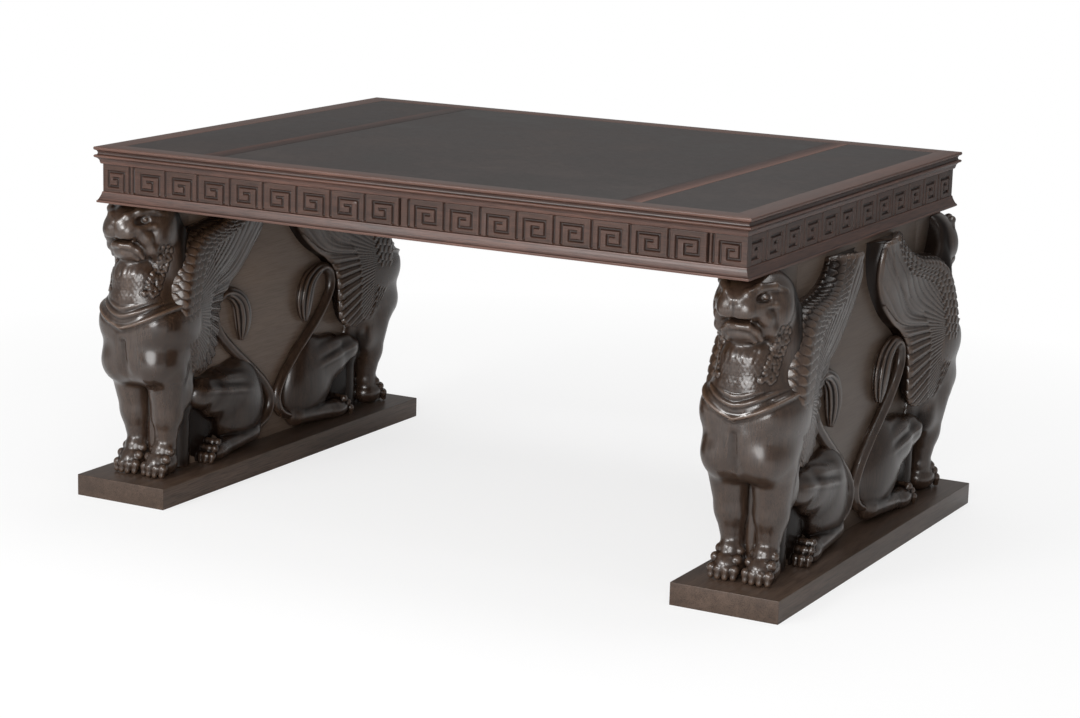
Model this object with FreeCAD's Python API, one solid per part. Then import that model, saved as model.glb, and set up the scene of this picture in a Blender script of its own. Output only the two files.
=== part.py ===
import FreeCAD, Part
import math
import os

V = FreeCAD.Vector

# Driving dimensions, in millimetres. X is the long way, the front faces -Y, Z is up.
# The origin is at floor level under the middle of the desk.
HEIGHT = 770.0
TOP_LENGTH = 1496.0
TOP_DEPTH = 1120.0
TOP_THICKNESS = 36.0
FRIEZE_HEIGHT = 59.0
RAIL_HEIGHT = 23.0
RAIL_DEPTH = 38.0
RAIL_PROUD = 10.0
FRIEZE_SET_BACK_X = 13.0
FRIEZE_SET_BACK_Y = 16.0
FRIEZE_THICKNESS = 21.0
CORNICE_WIDTH = 48.0
LEATHER_THICKNESS = 2.0
BAND_INSET = 280.0
BAND_WIDTH = 46.0

KEY_COUNT = 8
END_KEY_COUNT = 6
MUNTIN_WIDTH = 20.0
CORNER_WIDTH = 79.0
DOUBLE_GROOVE = 10.5
GROOVE_WIDTH = 5.0
GROOVE_DEPTH = 3.0

DRAWER_GAP = 1.0
DRAWER_LENGTH = 440.0
DRAWER_SIDE = 12.0
DRAWER_SIDE_HEIGHT = 50.0
DRAWER_BOTTOM = 6.0
DRAWER_BOTTOM_RISE = 4.0
RUNNER_LIFT = 3.0
BEARER_WIDTH = 72.0
CENTRE_RUNNER_WIDTH = 72.0

PEDESTAL_INSET = 38.0
PLINTH_WIDTH = 227.0
PLINTH_SET_BACK = 36.0
PLINTH_HEIGHT = 46.0
PANEL_THICKNESS = 64.0
PANEL_SHARE = 0.607
GLUE_LINE = 0.4

# Derived levels and planes.
BOARD_Z = HEIGHT - TOP_THICKNESS
FRIEZE_Z = BOARD_Z - FRIEZE_HEIGHT
RAIL_Z = FRIEZE_Z - RAIL_HEIGHT
FRIEZE_X = TOP_LENGTH / 2 - FRIEZE_SET_BACK_X
FRIEZE_Y = TOP_DEPTH / 2 - FRIEZE_SET_BACK_Y
RAIL_X = FRIEZE_X + RAIL_PROUD
RAIL_Y = FRIEZE_Y + RAIL_PROUD
CORE_X = TOP_LENGTH / 2 - CORNICE_WIDTH
CORE_Y = TOP_DEPTH / 2 - CORNICE_WIDTH
INNER_X = RAIL_X - RAIL_DEPTH
INNER_Y = RAIL_Y - RAIL_DEPTH
BAND_X = TOP_LENGTH / 2 - BAND_INSET
BLOCK_X = FRIEZE_X - CORNER_WIDTH
KEY_PITCH = (BLOCK_X - MUNTIN_WIDTH / 2) / KEY_COUNT
END_KEY_PITCH = (FRIEZE_Y - MUNTIN_WIDTH / 2) / END_KEY_COUNT
PEDESTAL_X = TOP_LENGTH / 2 - PEDESTAL_INSET
PLINTH_DEPTH = TOP_DEPTH - 2 * PLINTH_SET_BACK
FIGURE_HEIGHT = RAIL_Z - PLINTH_HEIGHT
PANEL_X = PANEL_THICKNESS / 2
PANEL_Y = PANEL_SHARE * PLINTH_DEPTH / 2

# The carved figures are drawn for a plinth 227 wide and 1048 deep and a height of 606 above it,
# and are stretched to fit. Forward is measured from the middle of the plinth.
# Each row of a figure is a level oval: side offset, distance forward, height, half width, half depth.
CHEST_ROWS = [
    (0, 412, 216, 88, 72),
    (0, 408, 232, 96, 88),
    (0, 408, 262, 99, 98),
    (0, 408, 304, 103, 107),
    (0, 408, 340, 112, 107),
    (0, 408, 370, 108, 103),
    (0, 414, 400, 92, 96),
    (0, 414, 430, 82, 92),
    (0, 408, 464, 80, 88),
    (0, 406, 500, 82, 86),
    (0, 410, 540, 84, 90),
    (0, 415, 566, 80, 94),
    (0, 420, 590, 72, 92),
    (0, 420, 606, 64, 84),
]
LEG_ROWS = [
    (35, 424, 0, 31, 44),
    (35, 424, 24, 33, 46),
    (36, 420, 50, 29, 38),
    (36, 408, 72, 25, 28),
    (37, 405, 100, 26, 28),
    (41, 407, 132, 32, 35),
    (45, 406, 179, 41, 49),
    (46, 408, 216, 45, 62),
    (46, 408, 232, 45, 64),
]
# Rounded masses: side offset, distance forward, height, half width, half depth, half height.
BEAK = (0, 490, 560, 46, 54, 34)
CHIN = (0, 474, 502, 46, 40, 24)
HAUNCH = (30, 198, 112, 44, 128, 94)
# Each row of the hind leg is an upright oval: side offset, distance forward, height, half width, half height.
HIND_ROWS = [
    (46, 72, 26, 14, 18),
    (49, 120, 24, 22, 28),
    (50, 200, 24, 25, 29),
    (51, 255, 23, 28, 28),
    (51, 299, 16, 26, 21),
]
# Each row of a wing is level: height, where its scoop meets the panel, rim and front distance,
# then rim and front side offset.
WING_ROWS = [
    (226, 304, 266, 345, 56, 66),
    (256, 272, 240, 392, 60, 84),
    (316, 262, 246, 424, 64, 102),
    (372, 242, 248, 428, 70, 108),
    (410, 170, 212, 418, 76, 104),
    (450, 108, 155, 382, 80, 92),
    (496, 84, 122, 325, 82, 80),
    (536, 64, 95, 240, 82, 74),
    (566, 48, 76, 190, 82, 70),
    (588, 34, 62, 150, 80, 66),
]
# Tail on the panel, from its root to the tip of its leaf: distance forward, height,
# half width and half thickness.
TAIL_ROWS = [
    (92, 28, 10, 10), (30, 54, 11, 11), (13, 92, 11, 11), (35, 130, 11, 11), (78, 168, 11, 11), (125, 204, 11, 11),
    (170, 238, 11, 11), (206, 276, 11, 11), (224, 314, 11, 11), (220, 346, 11, 11), (196, 362, 12, 12),
    (166, 358, 15, 12), (140, 338, 22, 13), (127, 304, 25, 13), (126, 272, 19, 11), (130, 248, 6, 6),
]


def box(x0, x1, y0, y1, z0, z1):
    return Part.makeBox(x1 - x0, y1 - y0, z1 - z0, V(x0, y0, z0))


def whole(shape):
    # The largest solid of a cut or joined shape.
    return sorted(shape.Solids, key=lambda item: item.Volume)[-1]


def ring(points):
    curve = Part.BSplineCurve()
    curve.interpolate(Points=points, PeriodicFlag=True)
    return Part.Wire([curve.toShape()])


def across(side):
    return side * PLINTH_WIDTH / 227.0


def fore(forward):
    return -forward * PLINTH_DEPTH / 1048.0


def level(height):
    return PLINTH_HEIGHT + height * FIGURE_HEIGHT / 606.0


def spot(side, forward, height):
    return V(across(side), fore(forward), level(height))


def level_oval(side, forward, height, half_side, half_forward):
    points = []
    for i in range(16):
        a = math.pi * i / 8
        points.append(spot(side + half_side * math.cos(a), forward + half_forward * math.sin(a), height))
    return ring(points)


def upright_oval(side, forward, height, half_side, half_height):
    points = []
    for i in range(12):
        a = math.pi * i / 6
        points.append(spot(side + half_side * math.cos(a), forward, height + half_height * math.sin(a)))
    return ring(points)


def wing_ring(height, heel, rim, front, rim_side, front_side):
    # A scooped section: its inner edge lies in the panel, its rear edge stands off as a thin rim.
    span = front - rim
    lift = across(rim_side) - PANEL_X
    outline = [
        (PANEL_X - 8, heel + 0.55 * (front - heel)),
        (PANEL_X - 8, heel),
        (PANEL_X + 0.30 * lift, heel + 0.45 * (rim - heel)),
        (across(rim_side), rim),
        (across(rim_side) + 5, rim + 0.15 * span),
        (across((rim_side + front_side) / 2) + 7, rim + 0.50 * span),
        (across(front_side), rim + 0.86 * span),
        (across(0.68 * front_side), front),
        (PANEL_X - 8, front - 0.12 * span),
    ]
    return ring([V(x, fore(s), level(height)) for x, s in outline])


def tail_rings():
    # Rings square to the tail's line, standing off the panel's face.
    rings = []
    for i, (forward, height, half, thick) in enumerate(TAIL_ROWS):
        before = TAIL_ROWS[max(i - 1, 0)]
        after = TAIL_ROWS[min(i + 1, len(TAIL_ROWS) - 1)]
        run = math.hypot(after[0] - before[0], after[1] - before[1])
        slope = ((before[1] - after[1]) / run, (after[0] - before[0]) / run)
        points = []
        for j in range(12):
            a = math.pi * j / 6
            reach = half * math.cos(a)
            x = PANEL_X + across(8 + thick * math.sin(a))
            points.append(V(x, fore(forward + reach * slope[0]), level(height + reach * slope[1])))
        rings.append(ring(points))
    return rings


def ellipsoid(side, forward, height, half_side, half_forward, half_height):
    middle = spot(side, forward, height)
    stretch = FreeCAD.Matrix()
    stretch.scale(across(half_side), -fore(half_forward), level(half_height) - level(0))
    stretch.move(middle)
    return Part.makeSphere(1.0).transformGeometry(stretch)


def figure_block():
    # Head, neck, chest and both forelegs in one block.
    body = Part.makeLoft([level_oval(*row) for row in CHEST_ROWS], True, False)
    legs = Part.makeLoft([level_oval(*row) for row in LEG_ROWS], True, False)
    return whole(body.fuse([ellipsoid(*BEAK), ellipsoid(*CHIN), legs, legs.mirror(V(0, 0, 0), V(1, 0, 0))]))


def hindquarter(panel, plinth):
    # Haunch, hind foot and the tail with its leaf, all laid on the panel's face.
    haunch = ellipsoid(*HAUNCH)
    foot = Part.makeLoft([upright_oval(*row) for row in HIND_ROWS], True, False)
    tail = Part.makeLoft(tail_rings(), True, False)
    joined = haunch.fuse([foot, tail])
    return whole(joined.cut([panel, plinth]))


def with_glue_line(block):
    # The block swollen sideways and lengthwise about its own upright axis.
    extent = block.BoundBox
    middle = extent.Center
    swell = FreeCAD.Matrix()
    swell.move(V(-middle.x, -middle.y, 0))
    swell.scale(1 + 2 * GLUE_LINE / extent.XLength, 1 + 2 * GLUE_LINE / extent.YLength, 1)
    swell.move(V(middle.x, middle.y, 0))
    return block.transformGeometry(swell)


def wing(panel, block):
    blade = Part.makeLoft([wing_ring(*row) for row in WING_ROWS], True, False)
    return whole(blade.cut([panel, with_glue_line(block)]))


def key_grooves(start, width):
    # One square spiral of grooves as (u0, u1, v0, v1) on the face, drawn on a key 80.8 wide and 59 high.
    g = GROOVE_WIDTH
    k = width / 80.8
    h = FRIEZE_HEIGHT / 59.0
    top = 45.5 * h
    spans = [
        (-g / 2, g / 2, 3 * h, 56 * h),
        (13.5 * k, 13.5 * k + g, 3 * h, top),
        (13.5 * k, 64 * k, top - g, top),
        (64 * k - g, 64 * k, 10.5 * h, top),
        (31 * k, 64 * k, 10.5 * h, 10.5 * h + g),
        (31 * k, 31 * k + g, 10.5 * h, 32.5 * h),
        (31 * k, 49 * k, 32.5 * h - g, 32.5 * h),
    ]
    return [(start + u0, start + u1, v0, v1) for u0, u1, v0, v1 in spans]


def half_keys(pitch, count):
    # Keys from the middle strip outwards on the positive side.
    keys = []
    for i in range(count):
        keys += key_grooves(MUNTIN_WIDTH / 2 + i * pitch, pitch)
    return keys


def corner_keys():
    # A second tall groove beside the last seam, then a narrowed key.
    seam = key_grooves(BLOCK_X, KEY_PITCH)[:1]
    return seam + key_grooves(BLOCK_X + DOUBLE_GROOVE, CORNER_WIDTH - DOUBLE_GROOVE + GROOVE_WIDTH / 2)


def both_sides(one):
    return one + [(-u1, -u0, v0, v1) for u0, u1, v0, v1 in one]


def carve_front(board, keys, u_low, u_high):
    cutters = []
    for u0, u1, v0, v1 in keys:
        u0 = max(u0, u_low)
        u1 = min(u1, u_high)
        if u1 - u0 > 0.5:
            cutters.append(box(u0, u1, -FRIEZE_Y - 1, -FRIEZE_Y + GROOVE_DEPTH, FRIEZE_Z + v0, FRIEZE_Z + v1))
    return whole(board.cut(cutters))


def carve_end(board, keys):
    cutters = []
    for u0, u1, v0, v1 in keys:
        cutters.append(box(FRIEZE_X - GROOVE_DEPTH, FRIEZE_X + 1, u0, u1, FRIEZE_Z + v0, FRIEZE_Z + v1))
    return whole(board.cut(cutters))


def turned(shape, degrees):
    copy = shape.copy()
    copy.rotate(V(0, 0, 0), V(0, 0, 1), degrees)
    return copy


def mitred(profile, reach, other):
    # A moulding along the front edge with 45 degree ends; profile is (distance from the middle, height).
    depth = max(d for d, z in profile) - min(d for d, z in profile)
    tall = max(z for d, z in profile) - min(z for d, z in profile)
    outline = [V(-2 * other, -d, z) for d, z in profile]
    bar = Part.Face(Part.makePolygon(outline + [outline[0]])).extrude(V(4 * other, 0, 0))
    near = reach - 1.5 * depth
    far = reach + 0.5 * depth
    shift = other - reach
    low = min(z for d, z in profile) - 0.5 * tall
    corners = [
        V(near + shift, -near, low),
        V(far + shift, -far, low),
        V(-far - shift, -far, low),
        V(-near - shift, -near, low),
    ]
    wedge = Part.Face(Part.makePolygon(corners + [corners[0]])).extrude(V(0, 0, 2 * tall))
    return whole(bar.common(wedge))


def cornice_profile(reach):
    # Drawn 48 wide and 36 high: a hollow under a round, a quirk, and a rounded upper edge.
    w = CORNICE_WIDTH / 48.0
    h = TOP_THICKNESS / 36.0
    drawn = [
        (48, 0), (8, 0), (7, 4), (4, 10), (1, 14), (0, 17), (1, 20),
        (6, 22), (6, 27), (1, 30), (0, 33), (1, 36), (48, 36),
    ]
    return [(reach - d * w, BOARD_Z + z * h) for d, z in drawn]


def rail_profile(reach):
    # Drawn 15 proud of the frieze and 23 high: a square foot and a long hollow up to the frieze.
    w = RAIL_PROUD / 15.0
    h = RAIL_HEIGHT / 23.0
    drawn = [(0, 0), (0, 5), (3, 6), (6, 10), (10, 15), (13, 20), (14, 23)]
    hollow = [(reach - d * w, RAIL_Z + z * h) for d, z in drawn]
    inner = reach - RAIL_DEPTH
    return [(inner, RAIL_Z)] + hollow + [(inner, FRIEZE_Z)]


os.makedirs("parts", exist_ok=True)

# Top: core board with three leather panels let in, and a mitred cornice around it.
leather_z = HEIGHT - LEATHER_THICKNESS
spans = [
    ("left", -CORE_X, -BAND_X - BAND_WIDTH / 2),
    ("centre", -BAND_X + BAND_WIDTH / 2, BAND_X - BAND_WIDTH / 2),
    ("right", BAND_X + BAND_WIDTH / 2, CORE_X),
]
core = box(-CORE_X, CORE_X, -CORE_Y, CORE_Y, BOARD_Z, HEIGHT)
for name, x0, x1 in spans:
    leather = box(x0, x1, -CORE_Y, CORE_Y, leather_z, HEIGHT)
    core = core.cut(leather)
    leather.exportStep("parts/leather_" + name + ".step")
whole(core).exportStep("parts/top_board.step")

half_x = TOP_LENGTH / 2
half_y = TOP_DEPTH / 2
cornice_long = mitred(cornice_profile(half_y), half_y, half_x)
cornice_short = mitred(cornice_profile(half_x), half_x, half_y)
rail_long = mitred(rail_profile(RAIL_Y), RAIL_Y, RAIL_X)
rail_short = mitred(rail_profile(RAIL_X), RAIL_X, RAIL_Y)
for name, degrees, cornice, rail in [
    ("front", 0, cornice_long, rail_long),
    ("right", 90, cornice_short, rail_short),
    ("back", 180, cornice_long, rail_long),
    ("left", -90, cornice_short, rail_short),
]:
    turned(cornice, degrees).exportStep("parts/cornice_" + name + ".step")
    turned(rail, degrees).exportStep("parts/rail_" + name + ".step")

# Frieze: carved boards between rail and cornice. The front one is cut into drawer fronts,
# a centre strip and two corner blocks.
long_keys = both_sides(half_keys(KEY_PITCH, KEY_COUNT) + corner_keys())
end_keys = both_sides(half_keys(END_KEY_PITCH, END_KEY_COUNT))
inside = FRIEZE_Y - FRIEZE_THICKNESS


def front_piece(x0, x1, z0, z1):
    board = box(x0, x1, -FRIEZE_Y, -inside, z0, z1)
    return carve_front(board, long_keys, x0 - GROOVE_WIDTH, x1 + GROOVE_WIDTH)


turned(front_piece(-FRIEZE_X, FRIEZE_X, FRIEZE_Z, BOARD_Z), 180).exportStep("parts/frieze_back.step")
end_board = box(FRIEZE_X - FRIEZE_THICKNESS, FRIEZE_X, -inside, inside, FRIEZE_Z, BOARD_Z)
end_board = carve_end(end_board, [key for key in end_keys if abs(key[0]) < inside])
end_board.exportStep("parts/frieze_right.step")
turned(end_board, 180).exportStep("parts/frieze_left.step")
muntin = front_piece(-MUNTIN_WIDTH / 2, MUNTIN_WIDTH / 2, FRIEZE_Z, BOARD_Z)
muntin.exportStep("parts/frieze_centre.step")
front_piece(BLOCK_X, FRIEZE_X, FRIEZE_Z, BOARD_Z).exportStep("parts/frieze_corner_right.step")
front_piece(-FRIEZE_X, -BLOCK_X, FRIEZE_Z, BOARD_Z).exportStep("parts/frieze_corner_left.step")

# Hidden frame under the drawers: a bearer over each pedestal and a centre runner with its guide.
bearer = box(INNER_X - BEARER_WIDTH, INNER_X, -INNER_Y, INNER_Y, RAIL_Z, FRIEZE_Z)
bearer.exportStep("parts/bearer_right.step")
turned(bearer, 180).exportStep("parts/bearer_left.step")
runner_half = CENTRE_RUNNER_WIDTH / 2
runner = box(-runner_half, runner_half, -INNER_Y, INNER_Y, RAIL_Z + RUNNER_LIFT, FRIEZE_Z)
runner.exportStep("parts/centre_runner.step")
guide_half = MUNTIN_WIDTH / 2 - DRAWER_GAP
guide = box(-guide_half, guide_half, -inside, inside, FRIEZE_Z, BOARD_Z)
guide.exportStep("parts/centre_guide.step")

# Two drawers, mirrored about the centre strip.
x0 = MUNTIN_WIDTH / 2 + DRAWER_GAP
x1 = BLOCK_X - DRAWER_GAP
side_x0 = x0 + DRAWER_GAP
side_x1 = x1 - DRAWER_GAP
back_y = -inside + DRAWER_LENGTH
bottom_z = FRIEZE_Z + DRAWER_BOTTOM_RISE
side_z = FRIEZE_Z + DRAWER_SIDE_HEIGHT
inner_x0 = side_x0 + DRAWER_SIDE
inner_x1 = side_x1 - DRAWER_SIDE
drawer = {
    "front": front_piece(x0, x1, FRIEZE_Z + DRAWER_GAP, BOARD_Z - DRAWER_GAP),
    "side_inner": box(side_x0, inner_x0, -inside, back_y, FRIEZE_Z, side_z),
    "side_outer": box(inner_x1, side_x1, -inside, back_y, FRIEZE_Z, side_z),
    "bottom": box(inner_x0, inner_x1, -inside, back_y, bottom_z, bottom_z + DRAWER_BOTTOM),
    "back": box(inner_x0, inner_x1, back_y - DRAWER_SIDE, back_y, bottom_z + DRAWER_BOTTOM, side_z),
}
for name, piece in drawer.items():
    piece.exportStep("parts/drawer_right_" + name + ".step")
    piece.mirror(V(0, 0, 0), V(1, 0, 0)).exportStep("parts/drawer_left_" + name + ".step")

# Pedestals: a plinth, an upright panel and two figures back to back.
plinth = box(-PLINTH_WIDTH / 2, PLINTH_WIDTH / 2, -PLINTH_DEPTH / 2, PLINTH_DEPTH / 2, 0, PLINTH_HEIGHT)
panel = box(-PANEL_X, PANEL_X, -PANEL_Y, PANEL_Y, PLINTH_HEIGHT, RAIL_Z)
block = figure_block()
haunch = hindquarter(panel, plinth)
blade = wing(panel, block)
figure = {
    "body": whole(block.cut(panel)),
    "haunch_near": haunch,
    "haunch_far": haunch.mirror(V(0, 0, 0), V(1, 0, 0)),
    "wing_near": blade,
    "wing_far": blade.mirror(V(0, 0, 0), V(1, 0, 0)),
}
for side, x in [("left", -PEDESTAL_X), ("right", PEDESTAL_X)]:
    shift = V(x, 0, 0)
    plinth.translated(shift).exportStep("parts/plinth_" + side + ".step")
    panel.translated(shift).exportStep("parts/panel_" + side + ".step")
    for end, degrees in [("front", 0), ("back", 180)]:
        for name, piece in figure.items():
            placed = turned(piece, degrees).translated(shift)
            placed.exportStep("parts/griffin_" + side + "_" + end + "_" + name + ".step")
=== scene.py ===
import math
from functools import partial
import bpy
import numpy as np
from mathutils import Matrix


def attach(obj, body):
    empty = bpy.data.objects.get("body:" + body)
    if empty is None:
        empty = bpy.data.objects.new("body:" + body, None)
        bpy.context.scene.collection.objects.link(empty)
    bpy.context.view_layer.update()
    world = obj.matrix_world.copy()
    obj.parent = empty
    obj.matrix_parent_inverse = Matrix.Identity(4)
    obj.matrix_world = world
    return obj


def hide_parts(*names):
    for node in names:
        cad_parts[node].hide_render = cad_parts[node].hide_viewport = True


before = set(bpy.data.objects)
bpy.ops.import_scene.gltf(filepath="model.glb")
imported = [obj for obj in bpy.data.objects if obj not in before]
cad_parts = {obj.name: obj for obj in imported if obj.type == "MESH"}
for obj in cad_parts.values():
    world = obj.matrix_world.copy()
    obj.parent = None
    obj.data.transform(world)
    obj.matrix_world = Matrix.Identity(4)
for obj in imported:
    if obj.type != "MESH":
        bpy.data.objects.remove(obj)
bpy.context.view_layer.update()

# The desk's main sizes in millimetres, which several pieces share. Front is -Y, up is +Z.
desk = dict(topX=748.0, topY=560.0, topZ=770.0, boardZ=734.0,  # the top: half sizes, upper and lower face
            friezeX=735.0, friezeY=544.0, friezeZ=675.0, railZ=652.0)  # half sizes, foot, and the rail's foot
metre = 0.001
boardSharp = 40  # edges of boards that turn by more degrees than this stay crisp
lengthways, depthways, upright = (0, 1, 2), (1, 0, 2), (2, 0, 1)  # axes along and across the wood's figure


def linear(code):
    # sRGB hex to linear colour with alpha
    parts = [int(code[i:i + 2], 16) / 255.0 for i in (1, 3, 5)]
    return [c / 12.92 if c <= 0.04045 else ((c + 0.055) / 1.055) ** 2.4 for c in parts] + [1.0]


def addNode(tree, kind, sockets=(), out=0, stops=(), **settings):
    # one node with its settings, its inputs by name or in order, and a ramp's stops; gives back one output
    made = tree.nodes.new("ShaderNode" + kind)
    for key, value in settings.items():
        setattr(made, key, value)
    for key, value in sockets.items() if isinstance(sockets, dict) else enumerate(sockets):
        if isinstance(value, bpy.types.NodeSocket):
            tree.links.new(value, made.inputs[key])
        else:
            made.inputs[key].default_value = value
    while stops and len(made.color_ramp.elements) < len(stops):
        made.color_ramp.elements.new(0.5)
    for element, (place, colour) in zip(made.color_ramp.elements if stops else (), stops):
        element.position = place
        element.color = linear(colour)
    return made.outputs[out] if len(made.outputs) else made


def newMaterial(name):
    made = bpy.data.materials.new(name)
    made.use_nodes = True
    made.node_tree.nodes.clear()
    return made, partial(addNode, made.node_tree)


# Mahogany figure: repeats per metre along and across the grain, detail, and how far the lines wander.
woodGrain = dict(figure=((5.0, 70.0, 70.0), 5.0, 0.6),  # stripes 200 mm long and 14 mm wide
                 pores=((22.0, 700.0, 700.0), 2.0, 0.0),  # 45 by 1.4 mm: coarser than real, to show
                 cloud=((3.0, 9.0, 9.0), 3.0, 0.0),  # uneven stain in patches of 330 by 110 mm
                 stain=0.45, poreRelief=0.0006, deepest=0.9, brightest=0.6)


def woodMaterial(name, tones, hollow, edge, rough, coat, shine=0.5, pore="#b8b0aa", dull=0.0):
    # Straight mahogany figure along each piece, painted darker in the hollows, as patina and painted shade,
    # and brighter on the ridges, as rubbing and painted highlight; dull is how much of the polish is lost to
    # dust and old wax in the deepest hollows.
    made, add = newMaterial(name)
    grain = add("Attribute", out="Vector", attribute_name="grain")
    wearAndShade = add("Attribute", out="Fac", attribute_name="wearAndShade")
    noise = []
    for repeats, detail, wander in (woodGrain[layer] for layer in ("figure", "pores", "cloud")):
        spread = add("VectorMath", (grain, repeats), operation="MULTIPLY")
        sockets = {"Vector": spread, "Scale": 1.0, "Detail": detail, "Distortion": wander}
        noise.append(add("TexNoise", sockets, "Fac"))
    figure, pores, cloud = noise
    mixed = add("Mix", {0: woodGrain["stain"], 2: figure, 3: cloud})
    base = add("ValToRGB", {"Fac": mixed}, stops=list(zip((0.30, 0.52, 0.72), tones)))
    poreDark = add("ValToRGB", {"Fac": pores}, stops=[(0.36, pore), (0.52, "#ffffff")])
    base = add("Mix", {0: 1.0, 6: base, 7: poreDark}, 2, data_type="RGBA", blend_type="MULTIPLY")
    deepest = woodGrain["deepest"]
    low = add("MapRange", (wearAndShade, 0.5, 0.1, 0.0, deepest))  # value, its range, the new range
    high = add("MapRange", (wearAndShade, 0.55, 0.95, 0.0, woodGrain["brightest"]))
    base = add("Mix", {0: low, 6: base, 7: linear(hollow)}, 2, data_type="RGBA")
    base = add("Mix", {0: high, 6: base, 7: linear(edge)}, 2, data_type="RGBA")
    gloss = add("MapRange", (cloud, 0.3, 0.7, rough - 0.05, rough + 0.07))
    bump = add("Bump", {"Height": pores, "Strength": 0.06, "Distance": woodGrain["poreRelief"]})
    wax = add("MapRange", (low, 0.0, deepest, coat, coat * (1 - dull)))
    gleam = add("MapRange", (low, 0.0, deepest, shine, shine * (1 - dull)))
    shader = add("BsdfPrincipled", {
        "Base Color": base, "Roughness": gloss, "Coat Weight": wax, "Coat Roughness": 0.18,
        "Specular IOR Level": gleam, "Normal": bump})
    add("OutputMaterial", {"Surface": shader})
    return made


# Leather: tones, and repeats per metre of rubbed patches (220 mm), specks (17 mm) and pebble (1.3 mm).
leather = dict(tones=[(0.34, "#26211e"), (0.50, "#302a28"), (0.66, "#3c3532")], patch=4.5, speck=60.0,
               pebble=750.0, pebbleRelief=0.0005, rubbed=0.42, matt=0.56, shine=0.3)


def leatherMaterial(name):
    # Old desk leather: grey brown, unevenly rubbed, with a fine pebble and a low sheen.
    made, add = newMaterial(name)
    place = add("TexCoord", out="Object")
    sockets = {"Vector": place, "Scale": leather["patch"], "Detail": 5.0, "Roughness": 0.62}
    patch = add("TexNoise", sockets, "Fac")
    speck = add("TexNoise", {"Vector": place, "Scale": leather["speck"], "Detail": 3.0}, "Fac")
    mixed = add("Mix", {0: 0.25, 2: patch, 3: speck})
    base = add("ValToRGB", {"Fac": mixed}, stops=leather["tones"])
    pebble = add("TexVoronoi", {"Vector": place, "Scale": leather["pebble"]}, "Distance")
    bump = add("Bump", {"Height": pebble, "Strength": 0.18, "Distance": leather["pebbleRelief"]})
    gloss = add("MapRange", (patch, 0.35, 0.65, leather["rubbed"], leather["matt"]))
    shader = add("BsdfPrincipled", {
        "Base Color": base, "Roughness": gloss, "Specular IOR Level": leather["shine"], "Normal": bump})
    add("OutputMaterial", {"Surface": shader})
    return made


# Oak of the drawer boxes: two tones, and repeats per metre of a figure 12 mm wide and 200 mm long.
oak = dict(dark="#6b5034", light="#8d6d49", repeats=(80.0, 5.0, 80.0), rough=0.55)


def oakMaterial(name):
    # Unpolished drawer lining: pale straight grain along the desk's depth.
    made, add = newMaterial(name)
    place = add("TexCoord", out="Object")
    spread = add("VectorMath", (place, oak["repeats"]), operation="MULTIPLY")
    figure = add("TexNoise", {"Vector": spread, "Scale": 1.0, "Detail": 4.0}, "Fac")
    base = add("ValToRGB", {"Fac": figure}, stops=[(0.3, oak["dark"]), (0.7, oak["light"])])
    shader = add("BsdfPrincipled", {"Base Color": base, "Roughness": oak["rough"]})
    add("OutputMaterial", {"Surface": shader})
    return made


polishedDark = woodMaterial("mahogany_dark_polished", ("#271c15", "#36281f", "#45352a"), "#0d0806", "#5c483a",
    0.29, 0.45, dull=0.85)  # figures: blackish brown under a deep wax gloss
plinthWood = woodMaterial("mahogany_plinth", ("#3a2d24", "#48392f", "#57463b"), "#110c09", "#5c483b",
    0.40, 0.1, 0.4)  # plinths: the same brown, scuffed to half matt
polishedRed = woodMaterial("mahogany_red_polished", ("#2b1b14", "#39251c", "#482f25"), "#1d120e", "#4c3228",
    0.42, 0.08, 0.38)  # frieze: red brown with a low sheen
panelWood = woodMaterial("mahogany_panel", ("#594b40", "#605146", "#67574a"), "#110c09", "#5c483b",
    0.36, 0.1, 0.3, "#e4e0dc")  # panels: faded and quiet, with filled pores
corniceWood = woodMaterial("mahogany_cornice", ("#37231c", "#493027", "#5c3e33"), "#1d130f", "#624337",
    0.42, 0.1, 0.42)  # mouldings: warmer, with ridges painted light, as rubbing and painted highlight
bandWood = woodMaterial("mahogany_cross_band", ("#36241e", "#452e27", "#53382f"), "#1d1613", "#75554a",
    0.5, 0.0, 0.3)  # cross bands: reddish and matt
sheenTop = woodMaterial("mahogany_top_painted_sheen", ("#221d1b", "#292321", "#312a27"), "#161212", "#3a2f2b",
    0.55, 0.0, 0.3)  # rim of the top: a painted grey reflection, without gloss
deskLeather = leatherMaterial("leather_desk_aged")
drawerOak = oakMaterial("oak_drawer_lining")
print("materials made")


def smoothStep(a, b, x):
    t = np.clip((x - a) / (b - a), 0, 1)
    return t * t * (3 - 2 * t)


def window(x, start, full, fade, end):
    # 1 from full to fade, falling smoothly to 0 at start and end
    return smoothStep(start, full, x) * smoothStep(end, fade, x)


def bell(x, width):
    return np.exp(-(x / width) ** 2)


def gridFaces(rows, cols, loopCols=False):
    # quads of a rows x cols grid of points, closed on itself across the columns where asked
    r0, c0 = np.meshgrid(np.arange(rows - 1), np.arange(cols if loopCols else cols - 1), indexing="ij")
    r1 = r0 + 1
    c1 = (c0 + 1) % cols
    return np.stack([r0 * cols + c0, r1 * cols + c0, r1 * cols + c1, r0 * cols + c1], -1).reshape(-1, 4)


def addObject(name, data):
    made = bpy.data.objects.new(name, data)
    bpy.context.scene.collection.objects.link(made)
    return made


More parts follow.
